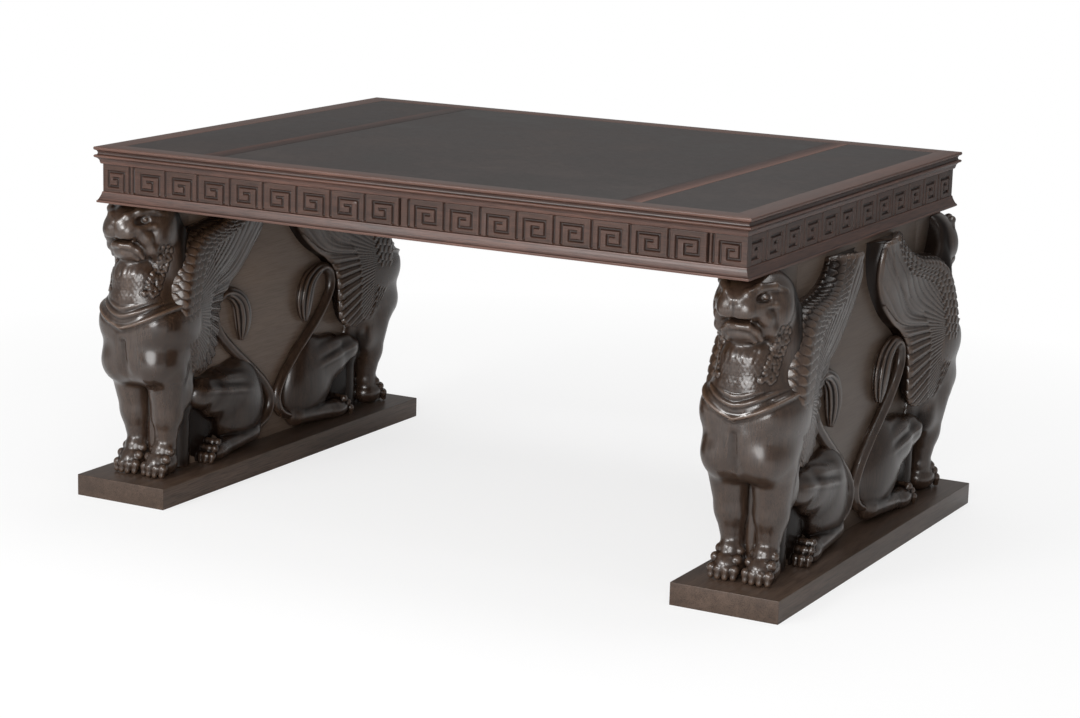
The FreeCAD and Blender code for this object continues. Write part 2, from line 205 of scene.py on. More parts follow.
def addPiece(name, points, faces, material, nodes=(), body="desk", slot="dark_mahogany", grain=lengthways,
             wearAndShade=None, sharp=None):
    # points in millimetres; faces an array of quads; the tone value runs from 0 in hollows, darkest as
    # patina and painted shade, to 1 on ridges, lightest as rubbing and painted highlight
    mesh = bpy.data.meshes.new(name)
    mesh.vertices.add(len(points))
    mesh.vertices.foreach_set("co", (points * metre).astype(np.float32).ravel())
    mesh.loops.add(faces.size)
    mesh.loops.foreach_set("vertex_index", faces.astype(np.int32).ravel())
    mesh.polygons.add(len(faces))
    mesh.polygons.foreach_set("loop_start", (np.arange(len(faces)) * faces.shape[1]).astype(np.int32))
    mesh.update(calc_edges=True)
    mesh.validate()
    mesh.polygons.foreach_set("use_smooth", np.full(len(mesh.polygons), True))
    figure = (points[:, list(grain)] * metre).astype(np.float32)
    mesh.attributes.new("grain", "FLOAT_VECTOR", "POINT").data.foreach_set("vector", figure.ravel())
    toneShift = np.full(len(points), 0.5) if wearAndShade is None else np.clip(wearAndShade, 0, 1)
    mesh.attributes.new("wearAndShade", "FLOAT", "POINT").data.foreach_set("value", toneShift.astype(np.float32))
    if sharp is not None:
        mesh.set_sharp_from_angle(angle=math.radians(sharp))
    mesh.materials.append(material)
    piece = addObject(name, mesh)
    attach(piece, body)
    if nodes:
        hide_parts(*nodes)
    return piece


def softBox(low, high, soft, rings=3):
    # A box with rounded edges: six grids, each point the nearest corner of an inner box plus soft along
    # a unit vector, whose slope across the face goes by even angles over the rings beside each edge.
    low, high = np.asarray(low, float) + soft, np.asarray(high, float) - soft
    slope = np.tan(np.linspace(-1, 0, rings) * math.pi / 4)
    slope = np.concatenate([slope, -slope[::-1]])
    i, j = np.meshgrid(np.arange(2 * rings), np.arange(2 * rings), indexing="ij")
    points, faces = [], []
    for axis in range(3):
        a, b = (axis + 1) % 3, (axis + 2) % 3
        for corner, sign in ((low, -1.0), (high, 1.0)):
            way = np.zeros(i.shape + (3,))
            way[..., axis], way[..., a], way[..., b] = sign, slope[i], slope[j]
            base = np.zeros_like(way)
            base[..., axis] = corner[axis]
            base[..., a] = np.where(i < rings, low[a], high[a])
            base[..., b] = np.where(j < rings, low[b], high[b])
            quads = gridFaces(*i.shape) + len(points) * i.size
            faces.append(quads if sign > 0 else quads[:, ::-1])
            points.append((base + soft * (way / np.linalg.norm(way, axis=-1, keepdims=True))).reshape(-1, 3))
    return np.concatenate(points), np.concatenate(faces)


def addBox(name, low, high, soft, material, nodes=(), fade=None, **settings):
    # a softBox as a piece; fade works out the tone value of its points, which can carry painted shade
    points, faces = softBox(low, high, soft)
    wearAndShade = fade(points) if fade else None
    addPiece(name, points, faces, material, nodes, wearAndShade=wearAndShade, sharp=boardSharp, **settings)


# Mouldings: each seen step is (inwards from the outer edge, up from the foot); flare scales the inward steps.
cornice = dict(width=48.0, flare=1.0,
               steps=[(11, 0), (10, 3), (9, 8), (6, 12), (1.5, 14), (0, 16.5), (1.5, 19), (6, 20), (7, 24),
                      (5, 28), (1, 29.5), (0, 33), (1, 36)])
rail = dict(width=38.0, proud=10.0, flare=10.0 / 15.0,  # its steps are drawn 15 mm proud
            steps=[(0, 0), (0, 4.5), (3, 5.5), (6, 9), (10, 15), (12, 19), (13, 23)])
mouldingCut = dict(soft=1.0, arcSteps=3, spots=41, sharp=35, toneShift=0.4)


def roundedProfile(corners):
    # A closed outline whose corners are cut by short arcs: at share t an arc blends the points at 1 - t on
    # the side before and at t on the side after. Outer corners get a high value, painted lighter as rubbing
    # and painted highlight; inner ones a low one, painted darker as patina and painted shade.
    corners = np.array(corners, float)
    t = np.linspace(0, 1, mouldingCut["arcSteps"])[:, None]
    out, toneShift = [], []
    for before, here, after in zip(np.roll(corners, 1, axis=0), corners, np.roll(corners, -1, axis=0)):
        lengths = [np.linalg.norm(before - here), np.linalg.norm(after - here)]
        back, ahead = (before - here) / lengths[0], (after - here) / lengths[1]
        turn = back[0] * ahead[1] - back[1] * ahead[0]
        cut = min(mouldingCut["soft"], 0.4 * min(lengths))
        out.append((1 - t) * (here + back * cut * (1 - t)) + t * (here + ahead * cut * t))
        strength = mouldingCut["toneShift"] * np.sign(-turn) * min(1, abs(turn) * 1.5)
        toneShift.append(0.5 + strength * (1 - np.abs(2 * t[:, 0] - 1) * 0.5))
    return np.concatenate(out), np.concatenate(toneShift)


def moulding(name, node, shape, foot, halfX, halfY, side):
    # A profile drawn along one edge of a rectangle with 45 degree ends; sides go front, right, back, left.
    # A point has the profile's distance and height, and a share -1 to 1 of the half length at that distance.
    along = side % 2 == 0
    reach, other = (halfY, halfX) if along else (halfX, halfY)
    back = reach - shape["width"]
    steps = [(reach - inward * shape["flare"], foot + up) for inward, up in shape["steps"]]
    profile, toneShift = roundedProfile([(back, steps[0][1])] + steps + [(back, steps[-1][1])])
    spots = np.linspace(-1, 1, mouldingCut["spots"])
    x = spots[:, None] * (profile[:, 0] + other - reach)
    y, z = (np.broadcast_to(line, x.shape) for line in (-profile[:, 0], profile[:, 1]))
    c, s = math.cos(side * math.pi / 2), math.sin(side * math.pi / 2)
    points = np.stack([x, y, z], -1).reshape(-1, 3) @ np.array([[c, -s, 0], [s, c, 0], [0, 0, 1]]).T
    faces = gridFaces(len(spots), len(profile), loopCols=True)[:, ::-1]
    return addPiece(name, points, faces, corniceWood, [node], slot="red_mahogany",
                    grain=lengthways if along else depthways, wearAndShade=np.tile(toneShift, len(spots)),
                    sharp=mouldingCut["sharp"])


rimLevel = (desk["topZ"] - 1) * metre  # level faces above this carry the rim's painted grey reflection
for side, word in enumerate(("front", "right", "back", "left")):
    rim = moulding("cornice_moulding_" + word, "cornice_" + word, cornice, desk["boardZ"],
                   desk["topX"], desk["topY"], side).data
    rim.materials.append(sheenTop)
    sheenFaces = [p.normal.z > 0.95 and p.center.z > rimLevel for p in rim.polygons]
    rim.polygons.foreach_set("material_index", np.array(sheenFaces, np.int32))
    moulding("frieze_rail_" + word, "rail_" + word, rail, desk["railZ"],
             desk["friezeX"] + rail["proud"], desk["friezeY"] + rail["proud"], side)
print("mouldings made")

# Frieze: Greek keys in grooves. Legs and hook are measured from a key's tall groove, foot and hookTop from
# the frieze's foot, head from its upper edge. The strip is the plain width at the middle of a side.
keys = dict(pitch=80.75, count=8, endCount=6, strip=20.0, groove=5.0, depth=4.0, soft=0.9, margin=3.0,
            legIn=13.5, legOut=64.0, hookIn=31.0, hookOut=49.0, foot=10.5, hookTop=32.5, head=13.5,
            doubleGap=10.5, endGap=1.5, endSpan=76.0)
board = dict(thick=21.0, drawerGap=1.0, lips=(-1.5, -0.55, 0.55, 1.5), spacing=12.0, levels=8, nearby=2.0,
             rimDrop=1.2, plain=0.52, hollow=0.36, rubbed=0.2, ridgeLightWidth=1.6, back=0.4)
tall = desk["boardZ"] - desk["friezeZ"]


def keyRects(start, scale):
    # Groove rectangles (u0, u1, v0, v1) of one key, starting at its tall groove and running outwards.
    g, foot, hookTop, margin = keys["groove"], keys["foot"], keys["hookTop"], keys["margin"]
    legIn, legOut, hookIn, hookOut = (keys[k] * scale for k in ("legIn", "legOut", "hookIn", "hookOut"))
    head = tall - keys["head"]
    spans = [(-g / 2, g / 2, margin, tall - margin), (legIn, legIn + g, margin, head),
             (legIn, legOut, head - g, head), (legOut - g, legOut, foot, head),
             (hookIn, legOut, foot, foot + g), (hookIn, hookIn + g, foot, hookTop),
             (hookIn, hookOut, hookTop - g, hookTop)]
    return [(start + u0, start + u1, v0, v1) for u0, u1, v0, v1 in spans]


def faceRects(limit, count, pitch, narrow):
    # Grooves of a whole side, mirrored about its middle; narrow adds a squeezed key beyond a double groove.
    half = []
    for i in range(count):
        half += keyRects(keys["strip"] / 2 + i * pitch, pitch / keys["pitch"])
    if narrow:
        start, g, margin = keys["strip"] / 2 + count * pitch, keys["groove"], keys["margin"]
        half.append((start - g / 2, start + g / 2, margin, tall - margin))
        start += keys["doubleGap"]
        half += keyRects(start, (limit - start - keys["endGap"]) / keys["endSpan"])
    return half + [(-u1, -u0, v0, v1) for u0, u1, v0, v1 in half]


def onFrieze(points, side):
    # (along, up, in) of a face to the desk's frame, by the side's two level directions
    ways = dict(front=(1, 0, 0, 1), right=(0, 1, -1, 0), back=(-1, 0, 0, -1), left=(0, -1, 1, 0))
    along, inward = np.reshape(ways[side], (2, 2))
    reach = desk["friezeY"] if side in ("front", "back") else desk["friezeX"]
    level = points[:, :1] * along + (points[:, 2:] - reach) * inward
    return np.column_stack([level, desk["friezeZ"] + points[:, 1]])


def carvedBoard(name, node, side, u0, u1, rects, body="desk", gap=0.0):
    # A face grid sunk along the groove rectangles: the depth is a smooth step of the distance to the nearest
    # groove, over soft lips; one more row all round takes the grid back to the board's thickness.
    v0, v1, soft = gap, tall - gap, keys["soft"]
    near = [r for r in rects if r[1] > u0 - board["nearby"] and r[0] < u1 + board["nearby"]]
    lips = np.array(board["lips"]) * soft
    evenU = np.linspace(u0, u1, max(2, int((u1 - u0) / board["spacing"])))
    us = np.concatenate([np.add.outer([e for r in near for e in r[:2]], lips).ravel(), evenU])
    vs = np.concatenate([np.add.outer([e for r in near for e in r[2:]], lips).ravel(),
                         np.linspace(v0, v1, board["levels"])])
    us = np.unique(np.round(np.clip(us, u0, u1), 2))
    vs = np.unique(np.round(np.clip(vs, v0, v1), 2))
    u, v = np.meshgrid(us, vs, indexing="ij")
    away = np.full(u.shape, np.inf)
    for a, b, c, d in near:
        du = np.maximum(a - u, u - b)
        dv = np.maximum(c - v, v - d)
        outside = np.hypot(np.maximum(du, 0), np.maximum(dv, 0)) + np.minimum(np.maximum(du, dv), 0)
        away = np.minimum(away, outside)
    fall = smoothStep(1.3 * soft, -1.3 * soft, away)
    rim = np.minimum(np.minimum(u - u0, u1 - u), np.minimum(v - v0, v1 - v))
    rimDrop = np.clip(board["rimDrop"] - rim, 0, board["rimDrop"]) ** 2 * 0.5
    ridge = bell(away - 1.6 * soft, board["ridgeLightWidth"]) * (away > 0)
    # grooves painted darker, as patina and painted shade; their lips lighter, as rubbing and painted
    # highlight
    wearAndShade = board["plain"] - board["hollow"] * fall + board["rubbed"] * ridge
    face = np.pad(np.stack([u, v, keys["depth"] * fall + rimDrop], -1), ((1, 1), (1, 1), (0, 0)), mode="edge")
    face[0, :, 2] = face[-1, :, 2] = board["thick"]
    face[:, 0, 2] = face[:, -1, 2] = board["thick"]
    wearAndShade = np.pad(wearAndShade, 1, constant_values=board["back"])
    rows, cols = wearAndShade.shape
    back = np.array([[cols - 1, rows * cols - 1, (rows - 1) * cols, 0]])
    faces = np.concatenate([gridFaces(rows, cols), back])
    grain = lengthways if side in ("front", "back") else depthways
    addPiece(name, onFrieze(face.reshape(-1, 3), side), faces, polishedRed, [node], body=body,
             slot="red_mahogany", grain=grain, wearAndShade=wearAndShade.ravel(), sharp=boardSharp)


stripX, gap = keys["strip"] / 2, board["drawerGap"]
blockX = stripX + keys["count"] * keys["pitch"]
frontX, insideY = desk["friezeX"], desk["friezeY"] - board["thick"]
longRects = faceRects(frontX, keys["count"], keys["pitch"], True)
endRects = faceRects(desk["friezeY"], keys["endCount"], (desk["friezeY"] - stripX) / keys["endCount"], False)
carvedBoard("frieze_board_back", "frieze_back", "back", -frontX, frontX, longRects)
carvedBoard("frieze_board_right", "frieze_right", "right", -insideY, insideY, endRects)
carvedBoard("frieze_board_left", "frieze_left", "left", -insideY, insideY, endRects)
carvedBoard("frieze_strip_centre", "frieze_centre", "front", -stripX, stripX, longRects)
carvedBoard("frieze_block_right", "frieze_corner_right", "front", blockX, frontX, longRects)
carvedBoard("frieze_block_left", "frieze_corner_left", "front", -frontX, -blockX, longRects)
for word, sign in (("right", 1), ("left", -1)):
    near, far = sorted((sign * (stripX + gap), sign * (blockX - gap)))
    carvedBoard("drawer_face_" + word, "drawer_" + word + "_front", "front", near, far, longRects,
                "drawer_" + word, gap)
print("frieze carved")

# Top: core board with cross bands, and three leather panels let in; each band's tone rises towards its
# outer edge, by a set amount for each side.
top = dict(bandX=478.0, bandWidth=46.0, bandDepth=3.0, inlay=2.0, leatherDrop=0.3, hollow=0.15, edgeLightLeft=0.4,
           edgeLightRight=0.85)
coreX, coreY = desk["topX"] - cornice["width"], desk["topY"] - cornice["width"]
bandHalf, inlayZ = top["bandWidth"] / 2, desk["topZ"] - top["inlay"]
bandIn, bandOut = top["bandX"] - bandHalf, top["bandX"] + bandHalf
for word, sign, toneShift in (("left", -1, top["edgeLightLeft"]), ("right", 1, top["edgeLightRight"])):
    x = sign * top["bandX"]
    addBox("cross_band_" + word, (x - bandHalf, -coreY, desk["topZ"] - top["bandDepth"]),
           (x + bandHalf, coreY, desk["topZ"]), 0.4, bandWood, slot="red_mahogany", grain=depthways,
           fade=lambda p: top["hollow"] + toneShift * (sign * p[:, 0] - bandIn) / top["bandWidth"])
addBox("top_core", (-coreX, -coreY, desk["boardZ"]), (coreX, coreY, inlayZ), 0.3, polishedRed, ["top_board"],
       slot="red_mahogany")
for word, x0, x1 in (("left", -coreX, -bandOut), ("centre", -bandIn, bandIn), ("right", bandOut, coreX)):
    addBox("leather_panel_" + word, (x0, -coreY, inlayZ), (x1, coreY, desk["topZ"] - top["leatherDrop"]), 0.5,
           deskLeather, ["leather_" + word], slot="desk_leather")

# Pedestals: half sizes about x. A tongue carries the panel's flat up to each head, and is painted darker
# towards it, as painted shade.
pedestal = dict(x=710.0, plinthX=113.5, plinthY=524.0, plinthZ=46.0, panelX=32.0, panelY=318.0,
                tongueY=420.0, tongueZ=500.0, tongueLap=8.0, tongueIn=0.2, tongueShade=0.1,
                panelShadeLeft=0.5, panelShadeRight=0.35)  # the right panel is painted a little darker, as painted shade
plinthX, plinthY, plinthZ = pedestal["plinthX"], pedestal["plinthY"], pedestal["plinthZ"]
panelX, panelY, panelTop = pedestal["panelX"], pedestal["panelY"], desk["railZ"]
tongueX, tongueY, tongueZ = panelX - pedestal["tongueIn"], pedestal["tongueY"], pedestal["tongueZ"]
root = panelY - pedestal["tongueLap"]
for word, sign, panelShade in (("left", -1, pedestal["panelShadeLeft"]), ("right", 1, pedestal["panelShadeRight"])):
    x = sign * pedestal["x"]
    addBox("plinth_block_" + word, (x - plinthX, -plinthY, 0), (x + plinthX, plinthY, plinthZ), 1.2,
           plinthWood, ["plinth_" + word], grain=depthways)
    # the panel's painted shade is one value all over
    addBox("upright_panel_" + word, (x - panelX, -panelY, plinthZ), (x + panelX, panelY, panelTop), 1.0,
           panelWood, ["panel_" + word], lambda p: np.full(len(p), panelShade), grain=depthways)
    for end, way in (("front", -1), ("back", 1)):
        near, far = sorted((way * root, way * tongueY))
        # each tongue is painted darker towards the head, as painted shade
        addBox("panel_tongue_" + word + "_" + end, (x - tongueX, near, tongueZ),
               (x + tongueX, far, panelTop), 0.8, panelWood, grain=depthways,
               fade=lambda p: np.interp(np.abs(p[:, 1]), (root, tongueY), (panelShade, pedestal["tongueShade"])))
print("boards made")


# Carved figures. Rounded masses are blended as distance fields on a voxel block, which is then skinned.
# A row starts with side, forward from the plinth's middle, and up. A ball's row goes on with three radii and
# how softly it runs into the others, a rod's with its radius there. A sign of -1 cuts a mass away.
def balls(*rows, sign=1):
    return [("ball", sign, row[:3], row[3:6], None, row[6]) for row in rows]


def rods(*rows, soft, sign=1):
    # a string of tapered rods through the rows
    return [("rod", sign, a[:3], b[:3], (a[3], b[3]), soft) for a, b in zip(rows, rows[1:])]


def toes(side, forward, up, spread, scale):
    # four knuckled toes: balls strung forward and down, each ending in a blunt claw
    out = []
    knuckle, tip = (10.5 * scale,) * 3, (10 * scale,) * 3
    for i in (-1.5, -0.5, 0.5, 1.5):
        x = side + i * spread
        back = 4.0 * abs(i) * scale
        a = (side + i * spread * 0.86, forward - 29 * scale - back, up + 42 * scale)
        b = (side + i * spread * 0.96, forward - 13 * scale - back, up + 28 * scale)
        c = (x, forward - back, up + 10 * scale)
        d = (x, forward + 5 * scale - back, up - 4 * scale)
        out += balls((*a, *knuckle, 3), (*b, *knuckle, 2), (*c, *tip, 2))
        out += rods((*c, 8.5 * scale), (*d, 6.5 * scale), soft=4)
    return out


trunk = balls((0, 408, 350, 88, 108, 105, 10), (58, 388, 385, 42, 66, 82, 22), (50, 430, 382, 50, 74, 62, 20),
              (40, 432, 300, 54, 74, 60, 20), (0, 436, 312, 44, 70, 62, 20), (0, 360, 290, 78, 60, 62, 20))
trunk += balls((0, 404, 475, 78, 80, 86, 22), (0, 400, 560, 75, 78, 86, 20))  # neck and hood, above the chest
trunk += rods((46, 420, 266, 44), (41, 410, 178, 33), (37, 408, 112, 22), soft=12)  # forelegs and paws
trunk += balls((52, 378, 230, 27, 34, 50, 16), (36, 414, 100, 25, 29, 25, 8), (35, 420, 72, 31, 42, 29, 8))
trunk += toes(36, 457, 57, 15.6, 1.0)
trunk += rods((0, 402, 262, 13), (0, 400, 50, 13), soft=3)  # fill between and behind the legs
trunk += rods((0, 372, 262, 24), (0, 372, 50, 24), soft=8)
trunk += balls((34, 345, 215, 18, 46, 60, 14)) + rods((16, 338, 250, 27), (16, 338, 50, 27), soft=10)
trunk += balls((0, 406, 520, 84, 46, 92, 14))
trunk += rods((0, 514, 350, 3), (0, 508, 280, 5), soft=18, sign=-1)  # furrow of the breast
beak = balls((0, 430, 610, 70, 76, 50, 12), (0, 466, 606, 56, 72, 41, 10), (16, 500, 596, 30, 38, 27, 12),
             (13, 525, 589, 22, 15, 16, 12))  # skull and snout
beak += balls((56, 446, 584, 22, 36, 40, 12), (0, 472, 548, 46, 44, 30, 10))  # cheeks and lower jaw
beak += rods((36, 504, 594, 13), (46, 491, 576, 12), (52, 475, 550, 11), (52, 459, 530, 8), soft=10)  # jowls
beak += rods((0, 518, 559, 7), (20, 511, 558, 7), (33, 501, 548, 6), (38, 491, 533, 5), soft=4)  # chin folds
beak += rods((0, 510, 543, 6), (18, 504, 541, 6), (27, 494, 529, 5), soft=4)
beak += rods((0, 546, 573, 4.5), (20, 538, 573, 4.5), (34, 520, 571, 4.5), (43, 508, 560, 4),
             (49, 498, 546, 3.5), (51, 485, 530, 2.5), soft=2, sign=-1)  # mouth, drawn down at its corners
beak += balls((0, 520, 573, 30, 26, 5, 3), sign=-1)
brow = balls((47, 506, 614, 13, 22, 11, 5), sign=-1) + balls((41, 487, 614, 8, 8, 7, 2))  # sockets and eyes
brow += rods((5, 534, 610, 5), (20, 522, 623, 7), (36, 502, 633, 8), (54, 474, 634, 7), (66, 448, 622, 4),
             soft=6)
brow += rods((40, 512, 600, 4), (60, 478, 600, 5), (66, 456, 590, 4), soft=5)
bib = balls((0, 450, 486, 58, 58, 44, 12), (0, 446, 448, 66, 68, 46, 18), (44, 424, 522, 26, 34, 42, 14),
            (0, 442, 408, 76, 78, 46, 24), (0, 474, 486, 34, 28, 32, 22))
nape = balls((0, 296, 644, 200, 98, 112, 12), sign=-1)  # the flat of the panel runs up to here
hind = balls((30, 150, 162, 48, 98, 98, 10), (30, 112, 124, 34, 66, 74, 20))  # haunch
hind += balls((36, 222, 192, 42, 84, 58, 14), (44, 290, 204, 33, 50, 35, 12))  # thigh and knee
hind += balls((14, 282, 124, 26, 86, 96, 8))  # back of the hollow under the knee
hind += rods((44, 96, 76, 22), (52, 215, 68, 20), soft=7)  # foot
hind += balls((42, 86, 80, 18, 24, 27, 8), (52, 246, 66, 27, 42, 23, 8)) + toes(52, 290, 54, 13.0, 0.85)


def carveField(masses, low, high, step):
    # Runs through the masses, each within its own window, and blends it into the block's distance field.
    axes = [np.arange(a, b + step, step) for a, b in zip(low, high)]
    field = np.full([len(a) for a in axes], 60.0, np.float32)  # 60 mm counts as far outside
    for kind, sign, one, two, ends, soft in masses:
        one, two = np.array(one, float), np.array(two, float)
        grow = soft + 3 * step + (0 if ends is None else max(ends))
        first, last = np.minimum(one, two), np.maximum(one, two)
        if kind == "ball":
            first, last = one - two, one + two
        cut = tuple(slice(np.searchsorted(a, l - grow), np.searchsorted(a, h + grow))
                    for a, l, h in zip(axes, first, last))
        spots = np.meshgrid(*[a[c] for a, c in zip(axes, cut)], indexing="ij", sparse=True)
        if kind == "ball":
            d = [(v - c) / r for v, c, r in zip(spots, one, two)]
            k0 = np.sqrt(sum(q ** 2 for q in d))
            k1 = np.sqrt(sum((q / r) ** 2 for q, r in zip(d, two)))
            away = k0 * (k0 - 1) / np.maximum(k1, 1e-6)
        else:
            run = two - one
            t = np.clip(sum((v - a) * r for v, a, r in zip(spots, one, run)) / (run @ run), 0, 1)
            away = np.sqrt(sum((v - a - t * r) ** 2 for v, a, r in zip(spots, one, run)))
            away = away - (ends[0] + (ends[1] - ends[0]) * t)
        old = field[cut] * sign
        h = np.clip(0.5 + 0.5 * (old - away) / soft, 0, 1)
        field[cut] = sign * (old + (away - old) * h - soft * h * (1 - h))
    return axes, field


def skinField(axes, field):
    # A point in every voxel the surface crosses, at the mean of its edge crossings; a quad per crossed edge.
    inside = field < 0
    n = [k - 1 for k in field.shape]
    corner = np.array([[i, j, k] for i in (0, 1) for j in (0, 1) for k in (0, 1)])
    count = sum(inside[i:n[0] + i, j:n[1] + j, k:n[2] + k].astype(np.int8) for i, j, k in corner)
    cells = np.argwhere((count > 0) & (count < 8))
    values = np.stack([field[tuple((cells + c).T)] for c in corner], 1)
    total = np.zeros((len(cells), 3))
    crossings = np.zeros(len(cells))
    pairs = [(a, b) for a in range(8) for b in range(a + 1, 8) if np.abs(corner[a] - corner[b]).sum() == 1]
    for a, b in pairs:
        hit = (values[:, a] < 0) != (values[:, b] < 0)
        t = values[hit, a] / (values[hit, a] - values[hit, b])
        total[hit] += corner[a] + t[:, None] * (corner[b] - corner[a])
        crossings[hit] += 1
    step = axes[0][1] - axes[0][0]
    points = np.array([a[0] for a in axes]) + step * (cells + total / crossings[:, None])
    index = np.full(n, -1)
    index[tuple(cells.T)] = np.arange(len(cells))
    faces = []
    unit = np.eye(3, dtype=int)
    for axis in range(3):
        b, c = unit[(axis + 1) % 3], unit[(axis + 2) % 3]
        spots = np.argwhere(np.diff(inside, axis=axis))
        spots = spots[np.all((spots >= b + c) & (spots < n), axis=1)]
        quad = np.stack([index[tuple((spots - o).T)] for o in (b + c, c, 0 * b, b)], 1)
        faces.append(np.where(inside[tuple(spots.T)][:, None], quad, quad[:, ::-1]))
    return points, np.concatenate(faces)


def normalsOf(points, faces):
    # the crossed diagonals of every quad, summed at its points and made unit length
    flat = np.cross(points[faces[:, 2]] - points[faces[:, 0]], points[faces[:, 3]] - points[faces[:, 1]])
    out = [sum(np.bincount(faces[:, k], flat[:, c], len(points)) for k in range(4)) for c in range(3)]
    out = np.stack(out, 1)
    return out / np.maximum(np.linalg.norm(out, axis=1, keepdims=True), 1e-9)


def relax(points, faces, rounds):
    # each point becomes the mean of its neighbours, several times over
    pairs = np.concatenate([faces[:, [k, (k + 1) % 4]] for k in range(4)])
    pairs = np.concatenate([pairs, pairs[:, ::-1]])
    here, there = pairs.T
    count = np.maximum(np.bincount(here, minlength=len(points)), 1)
    for _ in range(rounds):
        points = np.stack([np.bincount(here, points[there, c], len(points)) / count for c in range(3)], 1)
    return points


def soften(points, faces, rounds=2):
    # evens out the voxel steps without shrinking: a step to the mean of the neighbours and one back
    for share in (0.55, -0.57) * rounds:
        points = points + share * (relax(points, faces, 1) - points)
    return points


def wearAndShadeOf(points, faces, rounds=3, full=0.9):
    # how far a point stands above its surroundings, as a tone value: hollows come out darker, as patina
    # and painted shade, and ridges lighter, as rubbing and painted highlight
    ridge = np.sum((points - relax(points, faces, rounds)) * normalsOf(points, faces), axis=1)
    return 0.5 + 0.34 * np.clip(ridge / full, -1, 1)


def shingles(u, v):
    # Overlapping scales of unit pitch with round tips towards -v: height 0 to 1.
    row = np.floor(v)
    f = v - row
    upper = (u + 0.5 * (row % 2)) % 1.0 - 0.5
    lower = (u + 0.5 * ((row + 1) % 2)) % 1.0 - 0.5
    over = f > 1 - 0.92 * np.sqrt(np.clip(1 - (2 * upper) ** 2, 0, 1))
    middle = np.where(over, upper, lower)
    return np.clip(1 - 0.5 * np.where(over, f - 0.08, f + 0.92), 0, 1) - 0.45 * middle ** 2


# Figures: voxel edge, how much coarser the haunch is, and the clear under the rail and over the plinth.
skin = dict(step=2.4, coarse=1.3, headGap=0.3, footGap=0.2)
bodyCarving = dict(scalePitch=7.6, scaleRise=1.15, curlCount=95, curlSeed=11, curlRise=2.6,
                   chinPitch=13.0, chinRise=0.5, collarUp=384.0, collarRise=5.0, collarWidth=4.2,
                   drapePitch=17.0, drapeRise=1.8)


def figureBody():
    # Half the field is carved and mirrored; its skin then moves along its normals by the sum of fine forms.
    carving = bodyCarving
    axes, half = carveField(trunk + beak + brow + bib + nape, (0, 296, 40), (130, 560, 660), skin["step"])
    field = np.concatenate([half[:0:-1], half])
    axes = [np.concatenate([-axes[0][:0:-1], axes[0]]), axes[1], axes[2]]
    z = axes[2][None, None, :]
    ends = np.maximum(z - (desk["railZ"] - skin["headGap"]), pedestal["plinthZ"] + skin["footGap"] - z)
    points, faces = skinField(axes, np.maximum(field, ends))
    points = soften(points, faces)
    x, s, up = points.T
    side = np.abs(x)
    # fine scales on the bib, within an edge that narrows downwards; the neck, chest and legs stay smooth
    edge = np.interp(up, (428, 446, 470, 500), (0, 40, 54, 58))
    cover = smoothStep(edge + 3, edge - 5, side) * smoothStep(415, 432, s) * window(up, 434, 444, 496, 506)
    turn = np.arctan2(x, s - 400.0)
    scale = shingles(turn * 80.0 / carving["scalePitch"], (up + 0.12 * s) / carving["scalePitch"])
    rise = (scale - 0.5) * carving["scaleRise"] * cover
    # a beard from the cheek down to the bib: small round curls, each with a groove about it
    near = np.flatnonzero((up > 440) & (up < 566) & (s > 420) & (side > 20))
    chance, count = np.random.default_rng(carving["curlSeed"]), carving["curlCount"]
    t = np.linspace(0, 1, count)
    lean = np.interp(t, (0, 0.4, 1), (0.98, 0.84, 0.56)) + chance.uniform(-0.17, 0.17, count)
    rung = 552 - 100 * t + chance.uniform(-5, 5, count)
    width = chance.uniform(3.6, 5.4, count)
    away = (np.abs(turn[near])[:, None] - lean) * 82
    gone = (np.hypot(away, up[near][:, None] - rung) / width).min(1)
    rise[near] += carving["curlRise"] * np.sqrt(np.clip(1 - gone ** 2, 0, 1)) - 0.9 * bell(gone - 1.25, 0.4)
    # drawn folds under the chin
    chin = window(up, 484, 494, 508, 516) * smoothStep(42, 30, side) * (s > 430)
    rise += carving["chinRise"] * np.cos(x * 2 * math.pi / carving["chinPitch"]) * chin
    # the rolled collar that hangs to a point on the chest, with drapes above it
    drop = up - (carving["collarUp"] + 27 * (side / 70.0) ** 1.5)
    hang = smoothStep(104, 90, side) * smoothStep(395, 425, s)
    groove = bell(np.abs(drop) - 12, 4.5)
    rise += (carving["collarRise"] * bell(drop, carving["collarWidth"]) - 1.2 * groove) * hang
    drape = window(drop, 10, 18, 40, 52) * smoothStep(440, 430, up) * hang
    rise += carving["drapeRise"] * np.cos((drop - 24) * 2 * math.pi / carving["drapePitch"]) * drape
    rise += 3.0 * bell(drop + 3, 7) * bell(side, 8) * hang
    points = points + normalsOf(points, faces) * rise[:, None]
    # painted shade on the hood and in the hollow behind the forelegs; a painted highlight along the collar's
    # crest
    shade = 0.42 * smoothStep(432, 408, s) * smoothStep(470, 500, up)
    shade += 0.35 * smoothStep(372, 352, s) * smoothStep(250, 225, up)
    rubbed = 0.3 * bell(drop, 5.0) * hang
    return points, faces, wearAndShadeOf(points, faces) + rubbed - shade


# Haunch: fold sizes, and painted shade over the whole haunch and deeper under the knee.
hindCarving = dict(foldRise=1.7, foldPitch=30.0, dark=0.18, kneeShade=0.4)


